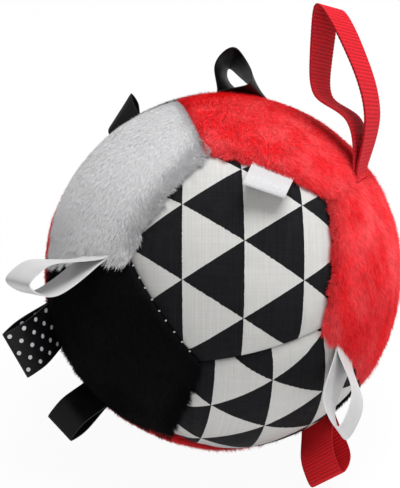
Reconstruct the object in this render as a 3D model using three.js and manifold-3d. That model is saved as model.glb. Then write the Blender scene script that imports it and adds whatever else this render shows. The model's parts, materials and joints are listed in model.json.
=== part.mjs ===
// A baby's soft ball: twelve five-sided fabric panels sewn round a stuffed core, with ribbon loops,
// a hanging strap and a label caught in the seams. Millimetres and degrees, +Z up. The origin is on
// the floor under the ball's centre, in the middle of the flat that the ball rests on.

import * as THREE from "three";
import { mergeVertices } from "three/addons/utils/BufferGeometryUtils.js";
import Module from "manifold-3d";

const wasm = await Module();
wasm.setup();

// Ball
const BALL_RADIUS = 75; // at the crown of a panel
const SEAM_DEPTH = 3; // how far the stitching draws a seam in below the crown
const SEAM_REACH = 12; // from a seam to where its panel is back at full radius
const REST_DEPTH = 0.5; // how much the flat rest takes off the ball
const CLEARANCE = 0.3; // between pieces that lie against each other

// How the ball lies: where its front panel faces, and how that panel is turned about its own middle
const FRONT_TURN = 6.3;
const FRONT_TILT = 34.9;
const FRONT_SPIN = 12.2;

// Panels and the seams between them
const PLUSH_THICKNESS = 3;
const COTTON_THICKNESS = 1.4;
const GROOVE_WIDTH = 3.2; // across the mouth of a seam
const GROOVE_DEPTH = 1.6; // from the mouth down to where the panels meet
const ALLOWANCE_DEPTH = 6; // how far a panel's edge is turned in below the groove
const ALLOWANCE_THICKNESS = 2;
const THREAD_DIAMETER = 0.9;

// Ribbons, label and strap
const SATIN_THICKNESS = 0.6;
const GROSGRAIN_THICKNESS = 0.7;
const WEBBING_THICKNESS = 1;
const LABEL_THICKNESS = 0.45;
const HINGE_RISE = 1; // from the mouth of the seam up to the line where a ribbon bends
const FOLD_ROUNDNESS = 0.8; // how much of a loop's belly is left halfway from there to its fold

// Mesh fineness
const SIDE_STEPS = 4; // along one side of a panel
const OUTER_RINGS = 6; // from the seam to the crown, outside
const INNER_RINGS = 2; // from the seam to the crown, inside
const RING_CROWDING = 1.5; // above 1 draws the rings towards the seam
const THREAD_SIDES = 4;
const LOOP_STEPS = 22;
const WELD_DISTANCE = 0.03;
const CUT_OVERSIZE = 4; // how many times its reach a cut is made, to pass right through

const SEAM_RADIUS = BALL_RADIUS - SEAM_DEPTH;
const MEETING_RADIUS = SEAM_RADIUS - GROOVE_DEPTH;
const ALLOWANCE_RADIUS = MEETING_RADIUS - ALLOWANCE_DEPTH;
const HINGE_RADIUS = SEAM_RADIUS + HINGE_RISE;
const HALF_SEAM_GAP = CLEARANCE / 2;

// A regular dodecahedron: the middles of neighbouring faces lie this far apart, seen from the centre
const PANEL_ANGLE = Math.atan(2);
const PANEL_SIDES = 5;
const PANEL_INRADIUS = BALL_RADIUS * Math.sin(PANEL_ANGLE / 2);
const GOLDEN_RATIO = (1 + Math.sqrt(5)) / 2;
const HALF_SEAM_ANGLE = Math.asin(1 / (Math.sqrt(3) * GOLDEN_RATIO));

const FABRICS = {
  red: { thickness: PLUSH_THICKNESS, color: 0xb01f2e, roughness: 0.95 },
  black: { thickness: PLUSH_THICKNESS, color: 0x1d1c21, roughness: 0.95 },
  white: { thickness: PLUSH_THICKNESS, color: 0xe8e6e3, roughness: 0.95 },
  print: { thickness: COTTON_THICKNESS, color: 0xd9d7d3, roughness: 0.85 },
};
const FIBRE = { color: 0xf2f1ee, roughness: 1 };
const THREAD = { color: 0xe6e3dc, roughness: 0.8 };
const RIBBON_ROUGHNESS = 0.6;

// Row 0 is the front, row 1 the five panels round it, row 2 the five round the rear, row 3 the rear
const PANELS = [
  { name: "front_print_panel", fabric: "print", row: 0, step: 0 },
  { name: "top_red_panel", fabric: "red", row: 1, step: 0 },
  { name: "upper_white_panel", fabric: "white", row: 1, step: 1 },
  { name: "left_black_panel", fabric: "black", row: 1, step: 2 },
  { name: "lower_print_panel", fabric: "print", row: 1, step: 3 },
  { name: "right_red_panel", fabric: "red", row: 1, step: 4 },
  { name: "rear_top_black_panel", fabric: "black", row: 2, step: 0 },
  { name: "left_red_panel", fabric: "red", row: 2, step: 1 },
  { name: "bottom_red_panel", fabric: "red", row: 2, step: 2 },
  { name: "rear_lower_black_panel", fabric: "black", row: 2, step: 3 },
  { name: "rear_upper_white_panel", fabric: "white", row: 2, step: 4 },
  { name: "rear_print_panel", fabric: "print", row: 3, step: 0 },
];

// Each loop is sewn between two panels, offset along their seam from its middle. It leans towards
// the first panel, bends further over its height, sways along the seam, slants its fold to the seam
// and twists about its axis. Its two strands, the first panel's first, part at one share of the
// height and are a belly away from the middle at another.
const TAGS = [
  {
    name: "hanging_strap",
    between: ["top_red_panel", "right_red_panel"],
    offset: 4.8,
    width: 15,
    thickness: WEBBING_THICKNESS,
    height: 72,
    partAt: [0.33, 0.05],
    bellies: [13.4, 7.4],
    widestAt: [0.52, 0.37],
    lean: 56,
    bend: 21,
    sway: 3,
    slant: 25,
    twist: 23,
    color: 0xb3222f,
  },
  {
    name: "care_label",
    between: ["front_print_panel", "top_red_panel"],
    offset: -1,
    width: 18,
    thickness: LABEL_THICKNESS,
    height: 21.5,
    partAt: [0.1, 0.1],
    bellies: [1.2, 2.4],
    widestAt: [0.78, 0.78],
    lean: 64,
    bend: 0,
    sway: 6,
    slant: -14,
    twist: 4,
    color: 0xeeece8,
  },
  {
    name: "white_left_ribbon",
    between: ["upper_white_panel", "left_black_panel"],
    offset: 11.6,
    width: 16,
    thickness: SATIN_THICKNESS,
    height: 41,
    partAt: [0.1, 0.1],
    bellies: [5.8, 6.9],
    widestAt: [0.69, 0.7],
    lean: -26,
    bend: 12,
    sway: -8,
    slant: -8,
    twist: 8,
    color: 0xe9e7e2,
  },
  {
    name: "dotted_ribbon",
    between: ["left_black_panel", "left_red_panel"],
    offset: 2.5,
    width: 22,
    thickness: SATIN_THICKNESS,
    height: 26,
    partAt: [0.1, 0.1],
    bellies: [2.5, 2.5],
    widestAt: [0.6, 0.6],
    lean: 34,
    bend: 0,
    sway: 3,
    slant: 6,
    twist: -14,
    color: 0x232126,
  },
  {
    name: "black_lower_ribbon",
    between: ["left_black_panel", "bottom_red_panel"],
    offset: -11,
    width: 16,
    thickness: SATIN_THICKNESS,
    height: 24,
    partAt: [0.1, 0.1],
    bellies: [3, 3],
    widestAt: [0.6, 0.6],
    lean: 21,
    bend: 0,
    sway: 11,
    slant: 0,
    twist: 0,
    color: 0x211f24,
  },
  {
    name: "black_upper_ribbon",
    between: ["upper_white_panel", "rear_top_black_panel"],
    offset: 1,
    width: 17,
    thickness: SATIN_THICKNESS,
    height: 8.5,
    partAt: [0.1, 0.1],
    bellies: [1.2, 2.3],
    widestAt: [0.6, 0.6],
    lean: -23,
    bend: 0,
    sway: -9,
    slant: 20,
    twist: 6,
    color: 0x211f24,
  },
  {
    name: "black_top_ribbon",
    between: ["top_red_panel", "rear_top_black_panel"],
    offset: -1.7,
    width: 18,
    thickness: SATIN_THICKNESS,
    height: 17.5,
    partAt: [0.1, 0.1],
    bellies: [12.1, 5.9],
    widestAt: [0.44, 0.51],
    lean: 20,
    bend: -14.3,
    sway: 11.2,
    slant: -36,
    twist: -55,
    color: 0x211f24,
  },
  {
    name: "white_right_ribbon",
    between: ["right_red_panel", "lower_print_panel"],
    offset: -8,
    width: 16,
    thickness: SATIN_THICKNESS,
    height: 42,
    partAt: [0.1, 0.1],
    bellies: [6, 5.6],
    widestAt: [0.59, 0.59],
    lean: -45.5,
    bend: 0,
    sway: -12,
    slant: 8,
    twist: 9,
    color: 0xe9e7e2,
  },
  {
    name: "red_lower_ribbon",
    between: ["lower_print_panel", "rear_lower_black_panel"],
    offset: -0.8,
    width: 17,
    thickness: GROSGRAIN_THICKNESS,
    height: 30,
    partAt: [0.1, 0.1],
    bellies: [4, 7.3],
    widestAt: [0.6, 0.6],
    lean: 39,
    bend: 0,
    sway: -7,
    slant: -9,
    twist: -6,
    color: 0xa81d2b,
  },
];

const radians = THREE.MathUtils.degToRad;

function solidOf(geometry) {
  const bare = geometry.clone();
  bare.deleteAttribute("normal");
  bare.deleteAttribute("uv");
  const merged = mergeVertices(bare);
  return new wasm.Manifold(
    new wasm.Mesh({
      numProp: 3,
      vertProperties: Float32Array.from(merged.getAttribute("position").array),
      triVerts: Uint32Array.from(merged.getIndex().array),
    }),
  );
}

function geometryOf(solid) {
  const mesh = solid.getMesh();
  const geometry = new THREE.BufferGeometry();
  geometry.setAttribute("position", new THREE.BufferAttribute(mesh.vertProperties, 3));
  geometry.setIndex(new THREE.BufferAttribute(mesh.triVerts, 1));
  return geometry;
}

// The direction from the ball's centre to the middle of a panel, with the front panel along +Z
function middleOf(panel) {
  const fromFront = [0, PANEL_ANGLE, Math.PI - PANEL_ANGLE, Math.PI][panel.row];
  const sideTurn = (2 * Math.PI) / PANEL_SIDES;
  const firstTurn = panel.row === 1 ? Math.PI / 2 - sideTurn / 2 : Math.PI / 2;
  const round = firstTurn + sideTurn * panel.step;
  return new THREE.Vector3(
    Math.sin(fromFront) * Math.cos(round),
    Math.sin(fromFront) * Math.sin(round),
    Math.cos(fromFront),
  );
}

const panelNamed = new Map(PANELS.map((panel) => [panel.name, { ...panel, middle: middleOf(panel) }]));

const areNeighbours = (first, second) => first !== second && first.middle.dot(second.middle) > 0;

// The seam planes round a panel, counter-clockwise from outside: unit normals that point into it
function seamNormals(panel) {
  const middle = panel.middle;
  const neighbours = [...panelNamed.values()].filter((other) => areNeighbours(panel, other));
  const right = neighbours[0].middle.clone().projectOnPlane(middle).normalize();
  const up = middle.clone().cross(right);
  return neighbours
    .map((other) => ({ other, turn: Math.atan2(other.middle.dot(up), other.middle.dot(right)) }))
    .sort((one, next) => one.turn - next.turn)
    .map(({ other }) => middle.clone().sub(other.middle).normalize());
}

// A closed line round a panel, at one distance from its seam planes and one from the ball's centre
function ringAt(panel, inset, radius) {
  const normals = seamNormals(panel);
  const corners = normals.map((normal, index) => {
    const before = normals.at(index - 1);
    const reach = inset / (1 + before.dot(normal));
    const foot = before.clone().add(normal).multiplyScalar(reach);
    const rise = Math.sqrt(radius ** 2 - foot.lengthSq());
    const spoke = before.clone().cross(normal).normalize();
    return foot.addScaledVector(spoke, Math.sign(spoke.dot(panel.middle)) * rise);
  });
  const ring = [];
  normals.forEach((normal, index) => {
    const start = corners[index].clone().addScaledVector(normal, -inset);
    const end = corners[(index + 1) % PANEL_SIDES].clone().addScaledVector(normal, -inset);
    const angle = start.angleTo(end);
    for (let step = 0; step < SIDE_STEPS; step += 1) {
      const share = step / SIDE_STEPS;
      ring.push(
        start
          .clone()
          .multiplyScalar(Math.sin((1 - share) * angle) / Math.sin(angle))
          .addScaledVector(end, Math.sin(share * angle) / Math.sin(angle))
          .addScaledVector(normal, inset),
      );
    }
  });
  return ring;
}

// A panel swells from its seams to its crown
function outerRadius(inset) {
  const toSeam = 1 - Math.min(inset / SEAM_REACH, 1);
  return BALL_RADIUS - SEAM_DEPTH * toSeam ** 2;
}

// Distances from the seam, spread between an edge and the crown
function insetsFrom(edge, rings) {
  return Array.from(
    { length: rings },
    (_, index) => edge + (PANEL_INRADIUS - edge) * (index / rings) ** RING_CROWDING,
  );
}

// Triangles over a stack of rings with equal counts, closed by a point at either end where given.
// They face out where the rings go from a panel's crown to its seam.
function skinOver(rings, { first, last }) {
  const count = rings[0].length;
  const points = rings.flat();
  const faces = [];
  for (let ring = 0; ring + 1 < rings.length; ring += 1) {
    for (let index = 0; index < count; index += 1) {
      const next = (index + 1) % count;
      const [near, nearNext] = [ring * count + index, ring * count + next];
      const [far, farNext] = [near + count, nearNext + count];
      faces.push(near, far, farNext, near, farNext, nearNext);
    }
  }
  const closeWith = (point, ring, turn) => {
    for (let index = 0; index < count; index += 1) {
      const pair = [ring * count + index, ring * count + ((index + 1) % count)];
      faces.push(points.length, ...(turn ? pair.reverse() : pair));
    }
    points.push(point);
  };
  if (first) {
    closeWith(first, 0, false);
  }
  if (last) {
    closeWith(last, rings.length - 1, true);
  }
  const geometry = new THREE.BufferGeometry().setFromPoints(points);
  geometry.setIndex(faces);
  return geometry;
}

const allowanceInset = HALF_SEAM_GAP + ALLOWANCE_THICKNESS;

// One panel: its crown, the slope into the seam, the turned-in allowance and the back of the cloth
function panelShell(panel) {
  const thickness = FABRICS[panel.fabric].thickness;
  const outside = insetsFrom(GROOVE_WIDTH / 2, OUTER_RINGS)
    .reverse()
    .map((inset) => ringAt(panel, inset, outerRadius(inset)));
  const inside = insetsFrom(allowanceInset, INNER_RINGS)
    .map((inset) => ringAt(panel, inset, outerRadius(inset) - thickness));
  const edge = [
    ringAt(panel, HALF_SEAM_GAP, MEETING_RADIUS),
    ringAt(panel, HALF_SEAM_GAP, ALLOWANCE_RADIUS),
    ringAt(panel, allowanceInset, ALLOWANCE_RADIUS),
  ];
  return skinOver([...outside, ...edge, ...inside], {
    first: panel.middle.clone().multiplyScalar(BALL_RADIUS),
    last: panel.middle.clone().multiplyScalar(BALL_RADIUS - thickness),
  });
}

// The part of the filling behind one panel, from the planes of its seams to its crown
function fillingBehind(panel) {
  const depth = FABRICS[panel.fabric].thickness + CLEARANCE;
  const floor = ALLOWANCE_RADIUS - CLEARANCE;
  const wall = allowanceInset + CLEARANCE;
  const rings = insetsFrom(allowanceInset, INNER_RINGS)
    .map((inset) => ringAt(panel, Math.max(inset, wall), outerRadius(inset) - depth));
  const patch = skinOver([ringAt(panel, 0, floor), ringAt(panel, wall, floor), ...rings], {
    last: panel.middle.clone().multiplyScalar(BALL_RADIUS - depth),
  });
  patch.setIndex([...patch.getIndex().array].reverse());
  return patch;
}

function fillingGeometry() {
  const positions = [];
  for (const panel of panelNamed.values()) {
    const patch = fillingBehind(panel).toNonIndexed();
    positions.push(...patch.getAttribute("position").array);
  }
  const geometry = new THREE.BufferGeometry();
  geometry.setAttribute("position", new THREE.Float32BufferAttribute(positions, 3));
  return mergeVertices(geometry, WELD_DISTANCE);
}

// The frame of a place on a seam: X towards the first panel, Y out of the ball, Z along the seam
function seamFrame(first, second, offset, radius) {
  const across = first.middle.clone().sub(second.middle).normalize();
  const middle = first.middle.clone().add(second.middle).normalize();
  const along = across.clone().cross(middle);
  const angle = offset / SEAM_RADIUS;
  const out = middle.clone().multiplyScalar(Math.cos(angle)).addScaledVector(along, Math.sin(angle));
  const frame = new THREE.Matrix4().makeBasis(across, out, across.clone().cross(out));
  return frame.setPosition(out.multiplyScalar(radius));
}

function tagFrame(tag) {
  const [first, second] = tag.between.map((name) => panelNamed.get(name));
  return seamFrame(first, second, tag.offset, HINGE_RADIUS);
}

const footHalf = (tag) => tag.thickness + HALF_SEAM_GAP;
const sewnTop = (tag) => -footHalf(tag) - CLEARANCE;
const sewnBottom = () => ALLOWANCE_RADIUS - HINGE_RADIUS;

// The slot that a ribbon's sewn end takes out of the two allowances, open at the mouth of the seam
function slotFor(tag) {
  const top = HINGE_RISE + GROOVE_DEPTH;
  const bottom = sewnBottom() - CLEARANCE;
  const slot = new THREE.BoxGeometry(
    2 * (tag.thickness + CLEARANCE),
    top - bottom,
    tag.width + 2 * CLEARANCE,
  );
  return slot.translate(0, (top + bottom) / 2, 0).applyMatrix4(tagFrame(tag));
}

// The room that a ribbon takes out of the thread in the groove
function threadGapFor(tag) {
  const gap = new THREE.BoxGeometry(
    CUT_OVERSIZE * GROOVE_WIDTH,
    CUT_OVERSIZE * GROOVE_DEPTH,
    tag.width + 2 * CLEARANCE,
  );
  return gap.applyMatrix4(tagFrame(tag));
}

// How far the thread's middle lies above the bottom of the groove, clear of both slopes
function threadRise() {
  const run = GROOVE_WIDTH / 2 - HALF_SEAM_GAP;
  const slope = Math.hypot(run, GROOVE_DEPTH);
  return ((THREAD_DIAMETER / 2 + CLEARANCE) * slope - HALF_SEAM_GAP * GROOVE_DEPTH) / run;
}

// One thread along every seam, joined where three seams meet and parted where a ribbon comes out
function seamThread() {
  const radius = MEETING_RADIUS + threadRise();
  const section = new THREE.Shape(
    Array.from({ length: THREAD_SIDES }, (_, side) => {
      const turn = (2 * Math.PI * side) / THREAD_SIDES;
      const reach = THREAD_DIAMETER / 2;
      return new THREE.Vector2(reach * Math.cos(turn), reach * Math.sin(turn));
    }),
  );
  const panels = [...panelNamed.values()];
  const seams = panels.flatMap((first, index) => {
    const later = panels.slice(index + 1).filter((second) => areNeighbours(first, second));
    return later.map((second) => [first, second]);
  });
  const runs = seams.map(([first, second]) => {
    const points = Array.from({ length: SIDE_STEPS + 1 }, (_, step) => {
      const offset = SEAM_RADIUS * HALF_SEAM_ANGLE * ((2 * step) / SIDE_STEPS - 1);
      return new THREE.Vector3().setFromMatrixPosition(seamFrame(first, second, offset, radius));
    });
    const path = new THREE.CatmullRomCurve3(points);
    const options = { extrudePath: path, steps: SIDE_STEPS, bevelEnabled: false };
    return solidOf(new THREE.ExtrudeGeometry(section, options));
  });
  const net = runs.reduce((joined, run) => joined.add(run));
  return geometryOf(TAGS.reduce((rest, tag) => rest.subtract(solidOf(threadGapFor(tag))), net));
}

// A loop's centre line, from one foot over the top to the other, in its own upright plane
function loopLine(tag) {
  const foot = footHalf(tag) - tag.thickness / 2;
  const strand = (side, index) => {
    const at = (across, share) => new THREE.Vector3(side * across, share * tag.height, 0);
    const belly = tag.bellies[index];
    const widest = tag.widestAt[index];
    return [
      at(foot, 0),
      at(foot, tag.partAt[index]),
      at(belly, widest),
      at(belly * FOLD_ROUNDNESS, (1 + widest) / 2),
    ];
  };
  const top = new THREE.Vector3(0, tag.height, 0);
  const points = [...strand(1, 0), top, ...strand(-1, 1).reverse()];
  return new THREE.CatmullRomCurve3(points, false, "centripetal");
}

// Twists, bends, slants and sways a point of an upright loop, more the higher it is
function drape(tag, point) {
  const share = point.y / tag.height;
  const twist = radians(tag.twist) * share;
  const bend = radians(tag.bend) * share;
  const across = point.x * Math.cos(twist) - point.z * Math.sin(twist);
  const along = point.x * Math.sin(twist) + point.z * Math.cos(twist);
  const height = point.y - share * along * Math.tan(radians(tag.slant));
  const chord = bend === 0 ? height : (height * Math.sin(bend / 2)) / (bend / 2);
  return point.set(
    chord * Math.sin(bend / 2) + across * Math.cos(bend),
    chord * Math.cos(bend / 2) - across * Math.sin(bend),
    along + point.y * Math.tan(radians(tag.sway)),
  );
}

function loopGeometry(tag) {
  const line = loopLine(tag);
  const outside = [];
  const inside = [];
  for (let step = 0; step <= LOOP_STEPS; step += 1) {
    const share = step / LOOP_STEPS;
    const place = line.getPointAt(share);
    const run = line.getTangentAt(share);
    const half = tag.thickness / 2;
    outside.push(new THREE.Vector2(place.x + run.y * half, place.y - run.x * half));
    inside.push(new THREE.Vector2(place.x - run.y * half, place.y + run.x * half));
  }
  const outline = new THREE.Shape([...outside, ...inside.reverse()]);
  const options = { depth: tag.width, steps: 1, bevelEnabled: false };
  const geometry = new THREE.ExtrudeGeometry(outline, options).translate(0, 0, -tag.width / 2);
  const positions = geometry.getAttribute("position");
  const point = new THREE.Vector3();
  for (let index = 0; index < positions.count; index += 1) {
    drape(tag, point.fromBufferAttribute(positions, index));
    positions.setXYZ(index, point.x, point.y, point.z);
  }
  geometry.computeVertexNormals();
  return geometry;
}

// The two layers of ribbon that the seam holds
function sewnEndGeometry(tag) {
  const [top, bottom] = [sewnTop(tag), sewnBottom()];
  const strip = new THREE.BoxGeometry(2 * tag.thickness, top - bottom, tag.width);
  return strip.translate(0, (top + bottom) / 2, 0);
}

function named(name, geometry, { color, roughness }) {
  const material = new THREE.MeshStandardMaterial({ color, roughness, metalness: 0 });
  const mesh = new THREE.Mesh(geometry, material);
  mesh.name = name;
  return mesh;
}

const softBall = new THREE.Group();
const ball = new THREE.Group();
softBall.add(ball);
ball.position.z = BALL_RADIUS - REST_DEPTH;
ball.rotation.z = radians(FRONT_TURN);
const tilted = new THREE.Group();
tilted.rotation.x = radians(90 - FRONT_TILT);
ball.add(tilted);
const spun = new THREE.Group();
spun.rotation.z = radians(FRONT_SPIN);
tilted.add(spun);
softBall.updateMatrixWorld(true);

// Everything below the floor, in the ball's own frame
const floorCut = solidOf(
  new THREE.BoxGeometry(CUT_OVERSIZE * BALL_RADIUS, CUT_OVERSIZE * BALL_RADIUS, BALL_RADIUS)
    .translate(0, 0, -BALL_RADIUS / 2)
    .applyMatrix4(spun.matrixWorld.clone().invert()),
);

for (const panel of panelNamed.values()) {
  const slots = TAGS.filter((tag) => tag.between.includes(panel.name)).map(slotFor);
  const shell = slots.reduce((rest, slot) => rest.subtract(solidOf(slot)), solidOf(panelShell(panel)));
  spun.add(named(panel.name, geometryOf(shell.subtract(floorCut)), FABRICS[panel.fabric]));
}
spun.add(named("filling", fillingGeometry(), FIBRE));
spun.add(named("seam_thread", seamThread(), THREAD));

for (const tag of TAGS) {
  const seat = new THREE.Group();
  seat.applyMatrix4(tagFrame(tag));
  const hinge = new THREE.Group();
  hinge.rotation.z = radians(-tag.lean);
  const look = { color: tag.color, roughness: RIBBON_ROUGHNESS };
  hinge.add(named(tag.name, loopGeometry(tag), look));
  seat.add(hinge, named(`${tag.name}_sewn_end`, sewnEndGeometry(tag), look));
  spun.add(seat);
}

export default softBall;
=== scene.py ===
"""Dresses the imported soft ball: plush and printed panels, ribbon loops, strap, label and stitches."""

import json
import math

import bpy
import numpy as np
from bpy.props import FloatProperty, FloatVectorProperty, IntProperty, PointerProperty
from mathutils import Euler, Matrix, Vector, noise


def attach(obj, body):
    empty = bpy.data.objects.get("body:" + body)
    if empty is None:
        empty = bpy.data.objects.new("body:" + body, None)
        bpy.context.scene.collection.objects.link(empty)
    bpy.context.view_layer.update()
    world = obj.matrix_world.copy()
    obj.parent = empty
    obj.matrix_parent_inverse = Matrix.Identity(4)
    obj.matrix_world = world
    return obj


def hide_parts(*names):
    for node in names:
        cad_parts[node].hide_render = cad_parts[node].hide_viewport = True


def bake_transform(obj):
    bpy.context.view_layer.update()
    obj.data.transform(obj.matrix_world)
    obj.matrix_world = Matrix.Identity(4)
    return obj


bl_info = {
    "name": "Soft Ribbon Ball",
    "version": (1, 0, 0),
    "blender": (4, 5, 0),
    "location": "View3D > Sidebar > Soft Ball",
    "description": "Sews a stuffed ball with plush and printed panels and ribbon loops",
    "category": "Add Mesh",
}

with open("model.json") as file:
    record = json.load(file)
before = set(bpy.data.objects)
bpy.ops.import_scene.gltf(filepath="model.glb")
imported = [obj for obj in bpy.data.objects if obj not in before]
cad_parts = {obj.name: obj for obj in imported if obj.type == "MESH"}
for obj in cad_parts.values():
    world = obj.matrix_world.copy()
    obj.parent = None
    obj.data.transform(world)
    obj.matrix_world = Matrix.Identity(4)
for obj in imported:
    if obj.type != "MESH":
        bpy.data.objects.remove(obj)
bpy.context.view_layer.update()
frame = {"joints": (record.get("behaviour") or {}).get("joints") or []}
JOINTS = {joint["name"]: joint for joint in frame["joints"]}
MM = 0.001

# Between the middles of two neighbouring panels of a form with twelve five-sided faces, and half of the
# seam between them, as angles at the ball's centre
PANEL_ANGLE = math.atan(2)
PANEL_SIDES = 5
HALF_SEAM = math.asin(1 / (math.sqrt(3) * (1 + math.sqrt(5)) / 2))

# The way the pile falls, how far it rises from its cloth, how much it swirls and strays, and how much
# of the fringe each plush takes
NAP_FALL = Vector((0, -0.6, -0.8))
NAP_RISE = {"red": math.radians(25), "black": math.radians(22), "white": math.radians(17)}
NAP_SWIRL = {"red": 0.5, "black": 0.25, "white": 0.12}
NAP_STRAY = {"red": 0.26, "black": 0.16, "white": 0.15}
FRINGE_SHARE = {"red": 0.8, "black": 0.7, "white": 1.3}

# How fine the swirl is, and its seed, without which it would follow the clock
SWIRL_SCALE = 5.0
SWIRL_SEED = 4

# The neighbours whose edge a plush cloth's pile lies over
PILE_COVERS = {
    "red": ("front_print_panel", "lower_print_panel", "rear_print_panel", "rear_lower_black_panel"),
    "black": ("lower_print_panel", "left_red_panel", "bottom_red_panel", "rear_print_panel"),
    "white": ("front_print_panel", "left_black_panel", "rear_print_panel"),
}

# Name, cloth, row from the front panel to the rear one, step round the row
PANELS = (
    ("front_print_panel", "print", 0, 0),
    ("top_red_panel", "red", 1, 0),
    ("upper_white_panel", "white", 1, 1),
    ("left_black_panel", "black", 1, 2),
    ("lower_print_panel", "print", 1, 3),
    ("right_red_panel", "red", 1, 4),
    ("rear_top_black_panel", "black", 2, 0),
    ("left_red_panel", "red", 2, 1),
    ("bottom_red_panel", "red", 2, 2),
    ("rear_lower_black_panel", "black", 2, 3),
    ("rear_upper_white_panel", "white", 2, 4),
    ("rear_print_panel", "print", 3, 0),
)

# How the triangle print lies on each printed panel: millimetres between its columns and along one,
# its turn in degrees, and where one corner of a triangle is, right of and above the panel's middle
PRINT_LAY = {
    "front_print_panel": (24.87, 31.13, -3.5, -24.2, -7.9),
    "lower_print_panel": (24.06, 28.86, 0.0, -28.7, 13.2),
    "rear_print_panel": (24.6, 30.4, 8.0, -12.0, 5.0),
}

# Beyond this angle from its middle the print is pulled straight towards its seams
PRINT_RIM = 0.4

# Millimetres and degrees. A loop leans towards its seam's first panel, bends over its height, sways
# along the seam, slants its fold and twists; its strands part at a share of the height and are a
# belly away from the middle at another.
LOOPS = {
    "hanging_strap": dict(
        joint="strap_bend", width=15, thickness=0.9, height=72, part=(0.33, 0.05), bellies=(13.4, 7.4),
        widest=(0.52, 0.37), lean=56, bend=21, sway=3, slant=25, twist=23,
    ),
    "care_label": dict(
        joint="label_bend", width=18, thickness=0.35, height=21.5, bellies=(1.2, 2.4),
        widest=(0.78, 0.78), lean=64, sway=6, slant=-14, twist=4,
    ),
    "white_left_ribbon": dict(
        joint="white_left_bend", width=16, thickness=0.45, height=41, bellies=(5.8, 6.9),
        widest=(0.69, 0.7), lean=-26, bend=12, sway=-8, slant=-8, twist=8,
    ),
    "dotted_ribbon": dict(
        joint="dotted_bend", width=22, thickness=0.45, height=26, bellies=(2.5, 2.5), lean=34, sway=3,
        slant=6, twist=-14,
    ),
    "black_lower_ribbon": dict(
        joint="black_lower_bend", width=16, thickness=0.45, height=24, bellies=(3, 3), lean=21, sway=11,
    ),
    "black_upper_ribbon": dict(
        joint="black_upper_bend", width=17, thickness=0.45, height=8.5, bellies=(1.2, 2.3), lean=-23,
        sway=-9, slant=20, twist=6,
    ),
    "black_top_ribbon": dict(
        joint="black_top_bend", width=18, thickness=0.45, height=17.5, bellies=(12.1, 5.9),
        widest=(0.44, 0.51), lean=20, bend=-14.3, sway=11.2, slant=-36, twist=-55,
    ),
    "white_right_ribbon": dict(
        joint="white_right_bend", width=16, thickness=0.45, height=42, bellies=(6, 5.6),
        widest=(0.59, 0.59), lean=-45.5, sway=-12, slant=8, twist=9,
    ),
    "red_lower_ribbon": dict(
        joint="red_lower_bend", width=17, thickness=0.6, height=30, bellies=(4, 7.3), lean=39, sway=-7,
        slant=-9, twist=-6,
    ),
}
PLAIN_LOOP = dict(part=(0.1, 0.1), widest=(0.6, 0.6), bend=0, sway=0, slant=0, twist=0)

# Metres from a seam: where its crease fades, where plush lies at its full depth, where dents are full,
# where puckers start and where they fade, and how far the edge is pinned
CREASE_REACH = 0.0012
DEPTH_REACH = 0.003
DENT_REACH = 0.012
PUCKER_START = 0.001
PUCKER_REACH = 0.004
PIN_REACH = 0.0016

# Metres: the dents and puckers of the cloth, and the least height of cloth and of pile over the floor
DENT_DEPTH = 0.0005
PUCKER_DEPTH = 0.00022
CLOTH_REST = 0.0003
PILE_REST = 0.0002

# How the cloth fills out: its settings, its steps of time and how far a point may move, in metres
FILL_CLOTH = dict(
    quality=5, vertex_group_mass="seam", use_pressure=True, uniform_pressure_force=1.5, shrink_min=-0.012,
    tension_stiffness=25, compression_stiffness=25, bending_stiffness=1.5,
)
FILL_STEPS = 16
FILL_MOST = 0.0006

# Millimetres: how far beside and below a ribbon its seam is parted, how soon that fades into the panel
# and the room that it leaves beside the ribbon
PARTED_BESIDE = 1.6
PARTED_BELOW = 12
PARTED_FADE = 1.8
PARTED_ROOM = 0.25

# Pile at an edge that lies over its neighbour and at one that only meets it: how much of it turns, how
# far it leans across the seam and how much longer it is
OVER_EDGE = dict(turned=0.9, across=0.9, longer=0.35)
MET_EDGE = dict(turned=0.4, across=0.15, longer=0.1)

# Metres from a seam within which pile turns and grows thicker, and how much it rises, lifts and thickens
TURN_REACH = 0.0026
THICK_REACH = 0.002
EDGE_RISE = 0.6
FRINGE_LIFT = 0.22
EDGE_THICKER = 1.2

# Clumps along a fringe: their middle, swing and limits, how fine they are and their seed
CLUMP_MIDDLE = 0.95
CLUMP_SWING = 1.3
CLUMP_LIMITS = (0.35, 1.6)
CLUMP_SCALE = 26
CLUMP_SEED = 9.0

# Shares of a tuft's length: how far its middle stands over the cloth, and the shortest and longest tuft
TUFT_RISE = 0.42
TUFT_SHORTEST = 0.7
TUFT_LONGEST = 1.2

# Millimetres: between a strand and the middle of its seam, and the height over which a loop leans
STRAND_ROOM = 0.15
LEAN_HEIGHT = 3.2

# The share of its belly that a strand keeps half way from its widest point to the fold, and the points
# of each stretch of its line
FOLD_BELLY = 0.8
STRETCH_POINTS = 40

# Millimetres: the height of the ribs and of the weave, the width of their flatter edges and of a cord.
# EDGE_LOW is the share of the height that is left at the rim.
RIB_HEIGHT = 0.16
RIB_EDGE = 0.9
WEAVE_HEIGHT = 0.24
WEAVE_EDGE = 0.7
CORD_WIDTH = 1.25
EDGE_LOW = 0.6

# Centimetres: between rows of dots across a ribbon, between dots along it, and from a dot's middle to
# where its edge starts and ends
DOT_PITCH = 0.42
DOT_STEP = DOT_PITCH * 1.6
DOT_EDGE = (0.088, 0.098)

# Stitches: the seed of their draws, how far they stray along the seam and stand out of it where they
# show and where they don't, in metres, their slant and arch, and how near a ribbon they stop
STITCH_SEED = 7
STITCH_STRAY = 0.0005
STITCH_SHOWN = 0.0007
STITCH_SUNK = -0.0021
STITCH_SLANT = 0.35
STITCH_ARCH = 0.3
RIBBON_ROOM = 0.001
RIBBON_NEAR = 0.014
SHOWN_SEAM = {"front_print_panel", "left_black_panel"}

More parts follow.
